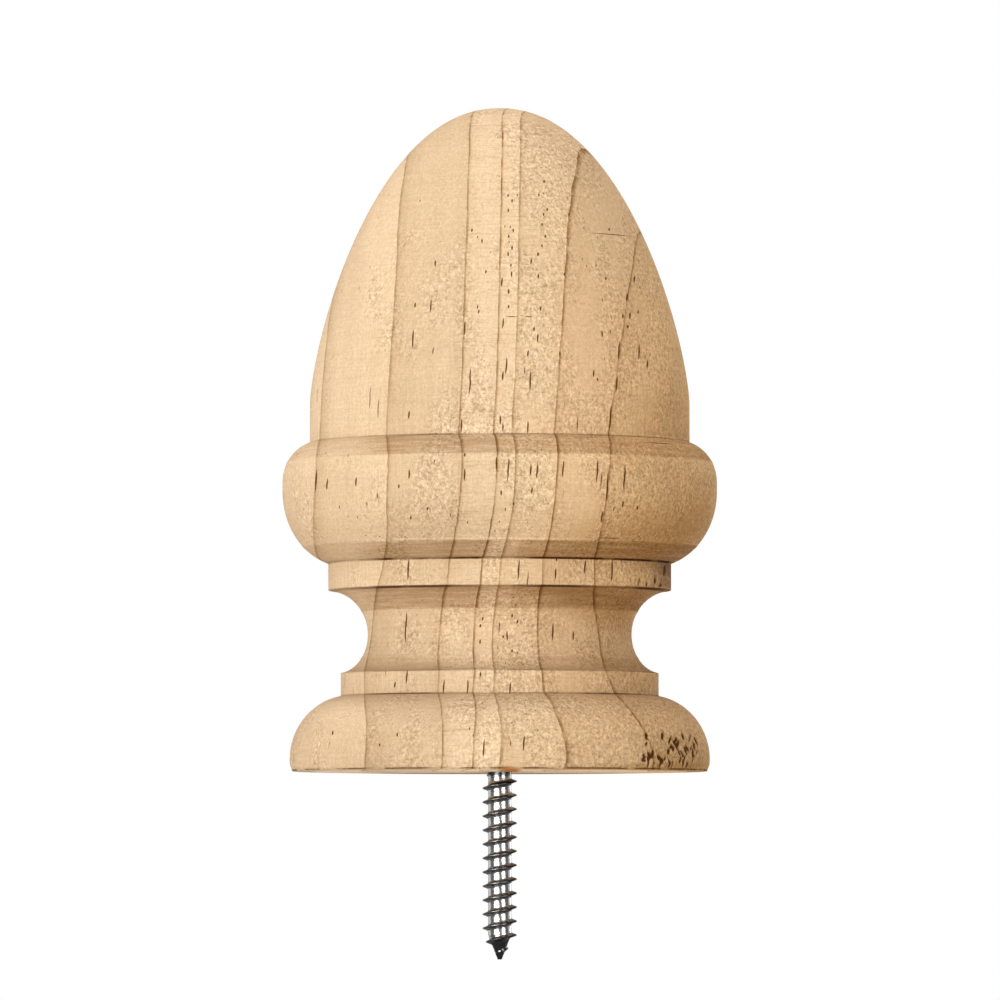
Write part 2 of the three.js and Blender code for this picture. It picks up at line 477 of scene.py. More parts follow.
def crowded(values, crowding, count):
    """Picks a count of values along a list, the closer together the higher the crowding there."""
    steps = 0.5 * (crowding[1:] + crowding[:-1])
    total = np.concatenate([[0.0], np.cumsum(steps)])
    places = np.interp(np.linspace(0.0, total[-1], count), total, np.arange(len(values)))
    return np.column_stack([np.interp(places, np.arange(len(values)), column) for column in values.T])


# Heights in millimetres where the turning tool stopped and left a faint edge.
TOOL_EDGES = (19.9, 28.05, 39.4, 54.2)

# The grain tore on the foot, to the right of the front: the bearing from the front, and the heights.
TORN_BEARING = math.radians(57.0)
TORN_HALF_WIDTH = math.radians(14.0)
TORN_LOW = 0.9 * MM
TORN_HIGH = 6.0 * MM

# The torn pits: how many, how far from the axis, and the smallest and largest half width and half height,
# in millimetres, and lean.
TORN_PITS = 52
TORN_SEED = 11
TORN_RADIUS = 36.4 * MM
PIT_HALF_WIDTHS = (0.12, 0.32)
PIT_HALF_HEIGHTS = (0.35, 0.95)
PIT_LEANS = (-0.7, 0.5)

# Gouges at the right-hand end of the upper fillet, in millimetres: across, height, half width, half height,
# and how far each leans to the right over its height.
GOUGES = (
    (28.8, 34.9, 0.30, 1.15, 0.1),
    (27.0, 32.9, 0.26, 0.75, 0.6),
    (24.2, 32.7, 0.24, 0.6, 0.3),
    (25.5, 32.4, 0.22, 0.45, -0.4),
    (28.2, 32.5, 0.36, 0.4, 0.5),
)


# How much closer the rows of the turned mesh are at corners, at tool edges and where the grain tore,
# and how sparse they are in the bore and on the underside.
CORNER_CROWDING = 5.0
CORNER_REACH = 0.9 * MM
CORNER_SPREAD_STEPS = 31
TOOL_EDGE_CROWDING = 2.5
TOOL_EDGE_REACH = 0.5 * MM
TORN_CROWDING = 1.2
HIDDEN_CROWDING = 0.12
HIDDEN_MARGIN = 2 * MM

# The same round the axis, where the grain tore.
TORN_SIDE_CROWDING = 1.6
TORN_SIDE_REACH = math.radians(19.0)
BEARING_STEPS = 3601


def wood_rows(sizes, marks, bore_radius, bore_depth):
    """The softened outline's rows, closest at corners and where the grain tore, sparse inside and below."""
    line = softened(turned_outline(sizes, bore_radius, bore_depth), marks.arris_radius)
    heights = line[:, 1]
    underside_end = bore_radius + bore_depth + sizes.foot_radius - sizes.foot_tuck_in
    outside = lengths_along(line) > underside_end - HIDDEN_MARGIN
    direction = np.unwrap(np.arctan2(*np.gradient(line, axis=0).T[::-1]))
    turning = np.abs(np.gradient(direction)) / FINE_STEP
    spread = np.hanning(CORNER_SPREAD_STEPS)
    turning = np.convolve(turning, spread / spread.sum(), mode="same")
    crowding = 1.0 + np.minimum(turning * CORNER_REACH, CORNER_CROWDING)
    for edge in TOOL_EDGES:
        crowding += TOOL_EDGE_CROWDING * np.exp(-(((heights - edge * MM) / TOOL_EDGE_REACH) ** 2))
    crowding += TORN_CROWDING * ((heights > TORN_LOW) & (heights < TORN_HIGH) & outside)
    crowding *= np.where(outside, 1.0, HIDDEN_CROWDING)
    rows = crowded(line, crowding, marks.rows)
    for edge in TOOL_EDGES:
        swell = np.exp(-(((rows[:, 1] - edge * MM) / marks.tool_edge_width) ** 2))
        rows[:, 0] += marks.tool_edge_height * swell * (rows[:, 0] > 2 * bore_radius)
    return rows


def wood_bearings(marks):
    """Bearings round the axis, counted from +X, closest together where the grain tore."""
    torn_at = TORN_BEARING - math.pi / 2
    fine = np.linspace(-math.pi, math.pi, BEARING_STEPS)
    crowding = 1.0 + TORN_SIDE_CROWDING * np.exp(-(((fine - torn_at) / TORN_SIDE_REACH) ** 4))
    return crowded(fine[:, None], crowding, marks.segments + 1)[:-1, 0]


def torn_marks():
    """The torn pits and the gouges: across, height, half width and half height in metres, and lean."""
    pits = random.Random(TORN_SEED)
    for _ in range(TORN_PITS):
        bearing = TORN_BEARING + TORN_HALF_WIDTH * (2 * pits.random() - 1)
        height = TORN_LOW + (TORN_HIGH - TORN_LOW) * pits.random()
        half_width = pits.uniform(*PIT_HALF_WIDTHS) * MM
        half_height = pits.uniform(*PIT_HALF_HEIGHTS) * MM
        yield TORN_RADIUS * math.sin(bearing), height, half_width, half_height, pits.uniform(*PIT_LEANS)
    for across, height, half_width, half_height, lean in GOUGES:
        yield across * MM, height * MM, half_width * MM, half_height * MM, lean


def dents_at(x, y, z):
    """How deep the torn pits and the gouges are at each point, from 0 to 1. They are on the front."""
    depth = np.zeros_like(x)
    for across, height, half_width, half_height, lean in torn_marks():
        above = z - height
        reach = 1.0 - ((x - across - lean * above) / half_width) ** 2 - (above / half_height) ** 2
        depth = np.maximum(depth, np.clip(reach, 0.0, 1.0) * (y < 0))
    return depth


def revolved(name, rows, bearings, dent_depth):
    """Turns the rows round the Z axis. The first and the last row are single points on it."""
    rings = rows[1:-1]
    radius, bearing = np.meshgrid(rings[:, 0], bearings, indexing="ij")
    height = np.repeat(rings[:, 1], len(bearings)).reshape(radius.shape)
    dents = dents_at(radius * np.cos(bearing), radius * np.sin(bearing), height)
    radius = radius - dent_depth * dents
    ring_points = np.stack([radius * np.cos(bearing), radius * np.sin(bearing), height], axis=-1)
    ends = [[(0.0, 0.0, row[1])] for row in (rows[0], rows[-1])]
    points = np.vstack([ends[0], ring_points.reshape(-1, 3), ends[1]])
    count = len(bearings)
    start = 1 + count * np.arange(len(rings))[:, None] + np.arange(count)
    ahead = np.roll(start, -1, axis=1)
    quads = np.stack([start[:-1], ahead[:-1], ahead[1:], start[1:]], axis=-1).reshape(-1, 4)
    last = len(points) - 1
    first_fan = [(0, int(b), int(a)) for a, b in zip(start[0], ahead[0])]
    last_fan = [(last, int(a), int(b)) for a, b in zip(start[-1], ahead[-1])]
    faces = [tuple(face) for face in quads.tolist()] + first_fan + last_fan
    mesh = bpy.data.meshes.new(name)
    mesh.from_pydata(points.tolist(), [], faces)
    torn = mesh.attributes.new("torn", "FLOAT", "POINT")
    torn.data.foreach_set("value", np.concatenate([[0.0], dents.ravel(), [0.0]]).astype(np.float32))
    return mesh


def placed(name, mesh, material):
    """A new object for a mesh, smooth shaded, with one material."""
    mesh.validate()
    mesh.materials.append(material)
    mesh.shade_smooth()
    piece = bpy.data.objects.new(name, mesh)
    bpy.context.collection.objects.link(piece)
    return piece


# The trunk that the wood was cut from, in millimetres: its heart lies to the right of the finial
# and a little in front, and leans. Towards the underside the rings on the right fan out.
HEART_ACROSS = 90.0
HEART_DEPTH = -17.0
TRUNK_MIDDLE = 60.0
TRUNK_LEAN = 0.063
FAN = 14.7
FAN_HEIGHT = 18.0
FAN_ACROSS = 15.0
FAN_SOFTNESS = 6.3

# Waves that push the rings to the right: push, then place and width across, then height and width.
WAVES = (
    (5.4, 21.0, 9.0, 103.5, 37.0),
    (-1.1, 10.0, 40.0, 117.0, 7.0),
    (1.1, -21.0, 9.0, 38.0, 7.0),
    (-1.1, -23.0, 9.0, 20.0, 9.0),
    (0.8, 17.0, 8.0, 25.0, 7.0),
    (-1.3, -4.0, 4.0, 3.0, 8.0),
    (-5.0, -37.0, 8.0, 2.0, 9.0),
)

# Each year's growth: its outer edge as a distance from the heart, its tone, and the strength of its line.
RINGS = (
    (21.0, 1.0, 0.6),
    (36.0, 0.96, 0.6),
    (50.5, 0.98, 0.6),
    (73.1, 0.98, 0.8),
    (82.2, 0.985, 0.9),
    (89.4, 1.02, 0.6),
    (92.5, 1.08, 1.0),
    (98.2, 1.0, 0.8),
    (109.9, 0.88, 0.5),
    (121.4, 0.97, 0.4),
    (133.0, 1.02, 0.5),
    (145.0, 0.97, 0.5),
)
LATE_SPREAD = 1.4

# How far the rings swing off their course, slowly and finely, in millimetres.
RING_WAVER = 0.8
RING_SHIVER = 0.3

# Belts between the rings where the resin canals crowd, as distances from the heart.
CANAL_BELTS = ((83.8, 86.6), (90.0, 91.8))

# The resin canals that show best on the front, read off the photograph: the middle of each, across
# and down, and its length, in pixels of the photograph's frame.
CANAL_MARKS = (
    (544, 181, 3), (539, 194.5, 3.5), (508, 195, 3), (512, 200.5, 3.5), (547, 209, 3), (508.5, 210, 3.5),
    (569, 214, 3.5), (543.5, 214, 3.5), (542, 224, 3), (609, 229, 3), (472, 230, 3.5), (513.5, 230, 3.5),
    (508.5, 236, 3.5), (545.5, 236, 3), (482, 240.5, 3.5), (542, 245.5, 3), (512, 247.5, 4.5),
    (508, 254, 4.5), (538, 254, 4), (531, 261, 6), (435, 263, 6), (511, 265, 3), (486, 271.5, 3.5),
    (511.5, 274, 6), (564.5, 274, 3.5), (538, 276, 4.5), (606, 278.5, 3), (634.5, 279, 7), (502, 282, 9),
    (508.5, 291.5, 5), (627, 297, 9), (415, 305, 5), (430.7, 306, 12), (508.7, 306.5, 3.5), (540.5, 308.5, 5),
    (478.5, 311.5, 4), (638, 312, 3.5), (630, 315.5, 7), (623, 316, 4.5), (503, 323, 10), (628, 326.5, 3.5),
    (464.8, 328, 13.5), (534, 329, 4), (602, 334, 6), (537.5, 338, 9), (412.8, 339, 18), (619.3, 351, 19),
    (639.3, 352, 16), (528, 353.5, 6), (560, 354, 4.5), (647.3, 364, 8), (506.3, 366, 16), (593.5, 373.5, 7),
    (503, 376, 9), (597.5, 379.5, 3), (470, 381, 26), (530.2, 381, 19), (616.8, 384, 15), (409, 415, 8),
    (610.2, 417.5, 24), (500.5, 420, 9), (461.5, 426, 13), (502.7, 427.5, 8), (528, 427.5, 12),
    (465, 455, 3.5), (496.5, 463.5, 13), (563.2, 469, 16), (508.2, 470, 23), (530.7, 470, 12), (597, 471, 22),
    (537, 471, 14), (409, 474.5, 9), (464.5, 475, 12), (624.5, 478, 27), (316, 481, 22), (356, 482, 9),
    (327, 484.5, 11), (607.2, 486, 29.5), (398.5, 486.5, 4), (532, 491, 6), (501, 493, 5), (514, 504, 3.5),
    (623, 504.5, 6), (637, 508, 3.5), (427, 509, 3), (601.8, 517, 11), (411, 518, 3.5), (556.5, 560, 3),
    (585, 567, 13.5), (408.3, 570, 20), (518.7, 570, 20), (612, 571, 22), (555.3, 574, 11), (512, 616, 3.5),
    (482.5, 619, 3.5), (517, 622, 3.5), (480.5, 626, 3.5), (406, 628, 30), (552.7, 632, 17), (573.5, 636, 9),
    (507, 636, 9), (503, 637, 3), (480, 642, 4.5), (512, 651, 3), (480.5, 674.5, 5), (407, 677, 14),
    (395, 685, 6), (443.7, 687, 14), (467.5, 687, 14), (510, 688.5, 11), (333, 733, 4.5), (397.5, 735, 4),
    (523.5, 743.5, 15), (380, 745, 3), (483.8, 748.5, 17),
)
CANAL_HALF_WIDTH = 0.14

# More canals are scattered between them and all round, in cells: cells per millimetre across and up,
# a canal's half width in its cell where it ends and where it is full, which cells have one, and the heights
# between which canals get fainter towards the tip.
CELLS_ACROSS = 1.25
CELLS_UP = 0.066
CELL_CANAL = (0.175, 0.095)
CELL_CHANCE = (0.84, 0.9)
CELLS_FADE = (114.0, 100.0)

# Further off than the edge of any canal, in its own half sizes.
FAR_OFF = 9.0

# Short level scratches on the front: across, height and length, in millimetres.
SCRATCHES = ((19.4, 93.2, 6.4), (2.1, 78.0, 1.8), (5.0, 78.0, 1.3), (18.9, 39.9, 3.6), (27.5, 56.6, 5.0))
SCRATCH_HALF_HEIGHT = 0.07

# Noise in the wood: waves per millimetre across, in depth and up, then detail, and where they aren't
# the usual ones, roughness and distortion.
GRAINS = {
    "waver": ((0.09, 0.09, 0.035), 2.0),
    "shiver": ((0.9, 0.9, 0.45), 3.0),
    "wander": ((0.5, 0.5, 0.5), 1.0),
    "crowd": ((0.12, 0.12, 0.03), 1.0),
    "scratch": ((0.12, 0.12, 2.9), 3.0, 0.7),
    "cloud": ((0.07, 0.07, 0.04), 2.0),
    "patches": ((0.13, 0.13, 0.06), 2.0),
    "fuzz": ((1.8, 1.8, 1.6), 2.0, 0.7, 0.6),
    "fibre": ((2.6, 2.6, 0.12), 3.0, 0.7),
    "tooth": ((3.2, 3.2, 2.8), 1.0),
    "ray": ((0.3, 0.3, 3.2), 2.0),
    "wear": ((0.5, 0.5, 0.16), 2.0),
    "streaks": ((0.10, 0.10, 1.9), 3.0, 0.7),
    "crease": ((0.09, 0.09, 0.4), 2.0),
    "rim": ((0.25, 0.25, 0.9), 2.0),
}


def grain(web, place, name):
    """One of the noises of the wood, from 0 to 1."""
    waves, *look = GRAINS[name]
    return web.noise(web.stretched(place, *waves), 1.0, *look)


def ring_pattern(web, place, x, y, z):
    """The distance from the heart, what is left to the year's edge, its tone and its line's strength."""
    fan_side = 1.0 / (1.0 + web.exponential((FAN_ACROSS - x) / FAN_SOFTNESS))
    shift = TRUNK_LEAN * (z - TRUNK_MIDDLE) + FAN * web.bell(z, 0.0, FAN_HEIGHT) * fan_side
    for push, middle, half_width, height, half_height in WAVES:
        shift = shift + push * web.bell(x, middle, half_width) * web.bell(z, height, half_height)
    waver = grain(web, place, "waver") - 0.5
    shiver = grain(web, place, "shiver") - 0.5
    across = x - shift - HEART_ACROSS
    depth = y - HEART_DEPTH
    straight = web.math("SQRT", across * across + depth * depth)
    distance = straight + RING_WAVER * waver + RING_SHIVER * shiver
    edge, tone, strength = RINGS[0]
    for inner, outer in zip(RINGS, RINGS[1:]):
        beyond = web.math("GREATER_THAN", distance, inner[0])
        edge = edge + (outer[0] - inner[0]) * beyond
        tone = tone + (outer[1] - inner[1]) * beyond
        strength = strength + (outer[2] - inner[2]) * beyond
    return distance, edge - distance, tone, strength


# The photograph's frame of 1000 by 1000 pixels: the column of the turning axis, the row of the underside's
# middle, and the size of a pixel there. A line of sight is followed to the wood in a few steps.
AXIS_PIXEL = 499.7
UNDERSIDE_PIXEL = 772.2
PIXEL = 0.17541 * MM
SIGHT_STEPS = 12


def canals_on_front(sizes, stage):
    """The marks placed on the front of the wood: across, height and length, in millimetres."""
    outline = outer_outline(sizes)
    for column, row, length in CANAL_MARKS:
        front = 0.0
        for _ in range(SIGHT_STEPS):
            nearness = 1 - front / stage.camera_distance
            across = (column - AXIS_PIXEL) * PIXEL * nearness
            rise = (UNDERSIDE_PIXEL - row) * PIXEL - stage.camera_height
            height = stage.camera_height + rise * nearness
            radius = np.interp(height, outline[:, 1], outline[:, 0])
            front = math.sqrt(max(radius**2 - across**2, 0.0))
        yield across / MM, height / MM, length * PIXEL / MM


def canal_pattern(web, place, x, y, z, distance, left, canals):
    """The mask of the resin canals and the scratches. Canals are upright, so dots where the wood slopes."""
    wander = grain(web, place, "wander") - 0.5
    upright = web.joined(x - TRUNK_LEAN * z + 0.3 * wander, y, z)
    nearest = FAR_OFF
    shapes = [(across, height, CANAL_HALF_WIDTH, length / 2) for across, height, length in canals]
    shapes += [(across, height, length / 2, SCRATCH_HALF_HEIGHT) for across, height, length in SCRATCHES]
    for across, height, half_width, half_height in shapes:
        centre = across - TRUNK_LEAN * height
        slim, tall = 1 / half_width, 1 / half_height
        away = web.node(
            "ShaderNodeVectorMath",
            {"operation": "MULTIPLY_ADD"},
            {0: upright, 1: (slim, 0.0, tall), 2: (-centre * slim, 0.0, -height * tall)},
        )
        nearest = web.math("MINIMUM", nearest, web.length(away))
    chosen = web.step(nearest, 1.2, 0.8) * web.step(y, -3.0, -6.0)
    spread = web.stretched(upright, CELLS_ACROSS, CELLS_ACROSS, CELLS_UP)
    cells = web.node(
        "ShaderNodeTexVoronoi", {"feature": "F1"}, {"Vector": spread, "Scale": 1.0, "Randomness": 1.0}
    )
    pick = web.parts(Wire(web, cells.socket.node.outputs["Color"]))[0]
    crowd = grain(web, place, "crowd") - 0.5
    belt = 0.0
    for inner, outer in CANAL_BELTS:
        belt = belt + web.band(distance, inner, outer, 0.3)
    here = web.step(pick + 0.5 * crowd + 0.55 * belt, *CELL_CHANCE) * web.step(left, 0.4, 1.0)
    scattered = web.step(cells, *CELL_CANAL) * here * web.step(z, *CELLS_FADE, low=0.2)
    return web.math("MAXIMUM", chosen, scattered)


# Belts of painted shade, under the collar, in the cove and low on the foot: height, half height and share.
SHADED_BELTS = ((41.0, 5.5, 0.15), (25.5, 5.0, 0.03), (2.0, 6.5, 0.08))

# Spots of painted light, lighter than the wood round them, or of painted shade, darker where the last number
# is negative: across, half width, height, half height and share.
LIGHT_AND_SHADE_SPOTS = (
    (-3.0, 8.0, 58.6, 1.2, 0.17),
    (-5.0, 7.0, 2.5, 5.0, 0.10),
    (-22.0, 7.0, 1.5, 4.0, -0.08),
    (31.0, 6.0, 3.5, 4.0, -0.16),
    (8.0, 5.0, 29.0, 4.0, -0.10),
    (13.0, 6.0, 35.0, 2.5, -0.07),
    (27.0, 7.0, 52.0, 4.0, -0.13),
    (-29.0, 6.0, 50.0, 4.0, -0.08),
    (-18.0, 5.0, 70.0, 10.0, -0.05),
    (28.0, 5.0, 35.8, 1.3, -0.24),
    (13.0, 3.0, 30.0, 1.6, -0.14),
    (-4.0, 7.0, 28.5, 2.5, -0.10),
    (-2.0, 12.0, 18.9, 1.3, 0.15),
    (-28.0, 6.0, 10.8, 2.5, 0.13),
)

# A darker shade takes more green and more blue away: powers of the shade for the three colours.
SHADE_POWERS = (1.0, 1.17, 1.42)

# Bands in millimetres of height, painted darker: partly the burnish of the tool, partly painted shade in the
# hollows and under the collar.
BURNISHED_AND_SHADED = ((17.3, 19.9, 0.35), (28.05, 31.8, 0.85), (36.5, 39.4, 0.85), (54.2, 57.7, 0.8))

# Creases in millimetres of height: thin lines painted dark, partly scorch and partly painted shade in the
# creases.
CREASES = ((13.3, 0.13, 0.8), (31.72, 0.17, 0.9), (36.5, 0.17, 1.0), (57.7, 0.13, 0.5), (17.25, 0.10, 0.45))

# The resin stain on the underside, from the screw to the front edge: its middle in millimetres,
# and how fast it fades in each direction.
STAIN_MIDDLE = (1.7, -22.0, 0.0)
STAIN_FALL_OFF = (0.38, 0.034, 1.3)
STAIN_STRENGTH = 0.9

# The upper fillet is painted dark at its right-hand end, partly burn and partly painted shade under the
# collar:
# where that starts and is full, and its heights.
BURNT_SHADED_ACROSS = (25.0, 30.0)
BURNT_SHADED_HEIGHTS = (32.0, 36.5)
BURNT_SHADED_STRENGTH = 0.6

# The foot's lowest edge is scorched in places.
RIM_HEIGHTS = (0.14, 0.40)
RIM_STRENGTH = 0.8

# A thin painted highlight runs along the top of the collar's lower tool band: its heights, and how far
# across.
HIGHLIGHT_LINE_HEIGHTS = (39.5, 39.8)
HIGHLIGHT_LINE_ACROSS = (-19.0, 17.0)

# The rubbed and shaded bands and the creases are fainter on the left, and on one belt of rings below the
# collar's middle.
FAINT_LEFT_ACROSS = (-27.0, -19.0)
FAINTER_RINGS = (87.0, 92.5)
FAINTER_RING_HEIGHTS = (48.0, 45.0)

# The early wood's colour changes between these distances from the heart, and rays show in the belt.
HEART_CHANGE = (97.0, 62.0)
RAY_BELT = (82.0, 99.0)

# Painted shade on the front where the wood faces right and down: how much each of the two counts.
SHADE_RIGHT = 0.75
SHADE_DOWN = 0.66

# The deepest torn grain and canals are not quite of the pore's full colour.
PORE_STRENGTH = 0.97


def rubbed_and_shaded_bands(web, z, scratch):
    """How hard the turning tool rubbed the wood, and the painted shade in the same bands."""
    rubbed_and_shaded = 0.0
    for low, high, force in BURNISHED_AND_SHADED:
        rubbed_and_shaded = rubbed_and_shaded + force * web.band(z + 0.8 * scratch, low, high, 0.2)
    return rubbed_and_shaded


def scorch_and_shade_mask(web, place, x, z, crease_and_band_strength, streaks):
    """Scorch and painted shade in the creases, scorch on the foot's lowest edge, and burn and painted shade
    at the right-hand end of the upper fillet.
    """
    crease = 0.0
    for height, half_width, strength in CREASES:
        beside, inside = half_width * 1.6, half_width * 0.6
        crease = crease + crease_and_band_strength * web.step(abs(z - height), beside, inside, high=strength)
    crease = crease * web.step(grain(web, place, "crease"), 0.38, 0.56, low=0.45)
    rim = web.band(z, *RIM_HEIGHTS, 0.08) * web.step(grain(web, place, "rim"), 0.36, 0.52)
    # Burn and painted shade at the right-hand end of the upper fillet, under the collar.
    burnt_and_shaded = BURNT_SHADED_STRENGTH * web.step(x, *BURNT_SHADED_ACROSS) * web.band(z, *BURNT_SHADED_HEIGHTS, 0.4)
    burnt_and_shaded = burnt_and_shaded * web.step(streaks, 0.25, 0.5, low=0.4)
    return web.math("MAXIMUM", burnt_and_shaded, web.math("MAXIMUM", crease, RIM_STRENGTH * rim))


def painted_light_and_shade(web, x, y, z):
    """How much lighter the wood is painted in places as painted light, or darker as painted shade where it is
    below 0.
    """
    under = web.step(z, 0.06, 0.02)
    # A painted highlight along the top of the collar's lower tool band.
    lit = 0.12 * web.band(z, *HIGHLIGHT_LINE_HEIGHTS, 0.12) * web.band(x, *HIGHLIGHT_LINE_ACROSS, 2.0)
    # Painted light on the front of the underside, painted shade towards its back.
    lit = lit + under * (0.5 - 0.9 * web.step(y, 8.0, 20.0))
    # Painted shade in belts.
    for height, half_height, darker in SHADED_BELTS:
        lit = lit - darker * web.bell(z, height, half_height)
    # Spots of painted light and painted shade.
    for across, half_width, height, half_height, lighter in LIGHT_AND_SHADE_SPOTS:
        lit = lit + lighter * web.bell(x, across, half_width) * web.bell(z, height, half_height)
    return lit


def stain_mask(web, place):
    """The resin stain, 1 in its middle."""
    off = web.vector("MULTIPLY", web.vector("SUBTRACT", place, STAIN_MIDDLE), STAIN_FALL_OFF)
    return web.step(web.length(off), 1.0, 0.4)


def pine_material(looks, front_canals):
    """Sanded pine: rings, canals, fibre, fuzz, tool bands, scorched creases, torn grain, a stain, and painted
    light and shade.
    """
    material, web = new_material("pine")
    place = web.place_in_millimetres()
    x, y, z = web.parts(place)
    distance, left, tone, strength = ring_pattern(web, place, x, y, z)
    canals = canal_pattern(web, place, x, y, z, distance, left, front_canals)
    torn = web.node("ShaderNodeAttribute", {"attribute_name": "torn"}, output="Fac")

    scratch = grain(web, place, "scratch") - 0.5
    fibre = grain(web, place, "fibre") - 0.5
    tooth = grain(web, place, "tooth") - 0.5
    cloud = grain(web, place, "cloud") - 0.5
    stripes = web.noise(web.joined(0.45 * distance, 0.0, 0.012 * z)) - 0.5
    fuzz = web.math("MAXIMUM", web.math("MINIMUM", 2.2 * (grain(web, place, "fuzz") - 0.5), 0.5), -0.5)
    fuzz_area = web.step(grain(web, place, "patches") + 0.005 * x - 0.001 * z, 0.34, 0.54, low=0.15)
    ray = web.step(grain(web, place, "ray"), 0.56, 0.68) * web.band(distance, *RAY_BELT, 1.0)
    streaks = grain(web, place, "streaks")

    heart = web.step(distance, *HEART_CHANGE)
    late = web.exponential(left / -LATE_SPREAD)
    # Burnish and painted shade in the tool bands.
    rubbed_and_shaded = rubbed_and_shaded_bands(web, z, scratch)
    line = web.step(left, 0.5 + 0.3 * rubbed_and_shaded, 0.08) * strength
    drawn = web.math("MAXIMUM", web.step(grain(web, place, "wear"), 0.30, 0.62, low=0.35), 1.3 * rubbed_and_shaded)
    fainter_belt = 0.45 * web.band(distance, *FAINTER_RINGS, 0.5) * web.step(z, *FAINTER_RING_HEIGHTS)
    crease_and_band_strength = web.step(x, *FAINT_LEFT_ACROSS, low=0.4) * (1.0 - fainter_belt)
    right, away, up = web.parts(web.node("ShaderNodeNewGeometry", output="Normal"))
    # Painted shade where the surface faces right and down, fading where it turns away from the front.
    down_right_shade = web.line(SHADE_RIGHT * right - SHADE_DOWN * up, 0.5, 0.95) * web.step(away, 0.15, -0.5)

    paint = web.mix(heart, opaque(looks.sapwood), opaque(looks.heartwood))
    paint = web.tint(paint, late, opaque(looks.latewood))
    # Painted shade: darker where the wood faces right and down.
    paint = web.tint(paint, down_right_shade, opaque(looks.down_right_shade))
    paint = web.tint(paint, line * drawn, opaque(looks.ring_line))
    # The tool bands: burnish and painted shade.
    paint = web.tint(paint, rubbed_and_shaded * crease_and_band_strength * web.step(streaks, 0.30, 0.62, low=0.5), opaque(looks.burnish_and_shade))
    # Scorch and painted shade in the creases and at the end of the upper fillet.
    paint = web.tint(paint, scorch_and_shade_mask(web, place, x, z, crease_and_band_strength, streaks), opaque(looks.scorch_and_shade))

    shade = 1.0 + looks.fibre * fibre + looks.stipple * fuzz * fuzz_area + 0.10 * cloud + looks.tooth * tooth
    shade = (shade + looks.cross * scratch + 0.14 * stripes) * tone * (1.0 - 0.13 * ray)
    # Painted light and painted shade on top of the wood's own shade.
    shade = shade * (1.0 + painted_light_and_shade(web, x, y, z))
    shades = [web.math("POWER", shade, power) for power in SHADE_POWERS]
    paint = web.vector("MULTIPLY", paint, web.joined(*shades))
    paint = web.mix(STAIN_STRENGTH * stain_mask(web, place), paint, opaque(looks.resin))
    # The canals and the torn grain are painted dark, the torn pits the darker the deeper they are: partly the
    # torn grain's own colour, partly painted shade in the pits.
    dark = web.math("MAXIMUM", PORE_STRENGTH * canals, web.step(torn, 0.05, 0.6, high=PORE_STRENGTH))
    paint = web.mix(dark, paint, opaque(looks.pore))

    relief = 0.04 * late - 0.05 * line + 0.16 * fuzz * fuzz_area + 0.04 * fibre + 0.03 * scratch
    normal = web.node("ShaderNodeBump", {}, {"Strength": 0.8, "Distance": MM, "Height": relief})
    finish_material(web, {
        "Base Color": paint,
        "Roughness": looks.roughness + 0.1 * fibre - 0.06 * rubbed_and_shaded,
        "Specular IOR Level": looks.shine,
        "Normal": normal,
    })
    return material


# The screw's dark film, partly oil and dust and partly painted shade, in millimetres. On the ridges it starts
# and is full this far outside the core, and it is worn off again at the crest. It thins to the left, as
# painted shade that is deeper on the right, and the crest is worn only there.
FILM_STARTS = (0.3, 0.65)
CREST_WORN = (0.78, 0.92)
RIDGE_SHADE_ACROSS = (-3.0, 1.0)
WORN_ACROSS = (1.6, 0.4)

# The film also covers the point, counted up from the tip, and painted shade under the wood covers the top,
# counted from the underside.
FILM_ON_POINT = (4.6, 2.8)
SHADE_ON_TOP = (-1.0, -0.4)
END_FILM = 0.85


def steel_material(looks, sizes):
    """Zinc-plated steel, bright on the core, with dark film and painted shade on the ridges, the point and
    the top.
    """
    material, web = new_material("zinc_steel")
    place = web.place_in_millimetres()
    x, y, z = web.parts(place)
    outside = web.math("SQRT", x * x + y * y) - sizes.core_radius / MM
    above_tip = z + sizes.reach / MM
    worn = web.step(outside, *CREST_WORN) * web.step(x, *WORN_ACROSS, high=0.8)
    # Painted shade: the ridges' film is thinner on the left and full on the right.
    ridge = web.step(outside, *FILM_STARTS) * web.step(x, *RIDGE_SHADE_ACROSS, low=0.6) * (1.0 - worn)
    mottle = web.noise(place, 1.6, detail=3.0, roughness=0.6)
    # Painted shade on the top, under the wood, and film on the point.
    ends = web.math("MAXIMUM", web.step(above_tip, *FILM_ON_POINT), web.step(z, *SHADE_ON_TOP))
    film_and_shade = web.math("MAXIMUM", ridge, END_FILM * ends) * (0.75 + 0.4 * mottle)
    film_and_shade = web.math("MINIMUM", film_and_shade, 1.0)
    paint = web.mix(film_and_shade, opaque(looks.zinc), opaque(looks.film_and_shade))
    rolled = web.noise(web.stretched(place, 0.9, 0.9, 2.6))
    normal = web.node("ShaderNodeBump", {}, {"Strength": 0.5, "Distance": MM, "Height": 0.10 * rolled})
    finish_material(web, {
        "Base Color": paint,
        "Metallic": 1.0,
        "Roughness": looks.roughness + 0.12 * (mottle - 0.5) + 0.12 * ridge,
        "Normal": normal,
    })
    return material


# Points of the section on a flank and in half a groove, and how hollow the flanks are.
FLANK_POINTS = 5
FLANK_HOLLOW = 1.5

# Points of the screw's mesh that are closer together than this are one point.
WELD = 0.0005 * MM


